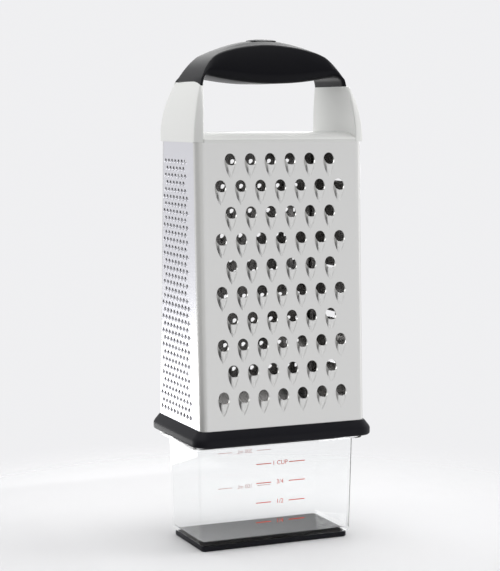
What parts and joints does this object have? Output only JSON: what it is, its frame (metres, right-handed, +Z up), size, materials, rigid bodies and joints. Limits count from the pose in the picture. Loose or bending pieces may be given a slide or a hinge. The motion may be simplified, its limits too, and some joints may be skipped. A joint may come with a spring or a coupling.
{
  "type": "box grater with collecting container",
  "caption": "Tall box grater with shredding, fine and slicing faces, a soft arched grip and a clear measuring container that it stands on.",
  "frame": {"origin": "Centre of the underside of the container's non-slip foot, on the surface the object stands on.", "axes": "+Z up. +X to the right along the wide faces when looking at the coarse face. -Y is the way the coarse face looks; +Y is the way the medium face looks."},
  "size_m": [0.1212, 0.0848, 0.318],
  "materials": {
    "clear_plastic": "clear, polished",
    "black_soft": "satin soft-touch",
    "black_rigid": "matte",
    "stainless": "satin",
    "white_plastic": "semi-gloss"
  },
  "bodies": {
    "container": {"container": "clear_plastic", "container_foot": "black_soft"},
    "grater": {"base_frame": "black_rigid", "base_rim": "black_soft", "coarse_panel": "stainless", "medium_panel": "stainless", "fine_panel": "stainless", "slicer_panel": "stainless", "handle_frame": "white_plastic", "soft_grip": "black_soft"}
  },
  "joints": [
    {"name": "grater_lift", "type": "slide", "parent": "container", "child": "grater", "axis": [0, 0, 1], "range_m": [0, 0.06]}
  ]
}
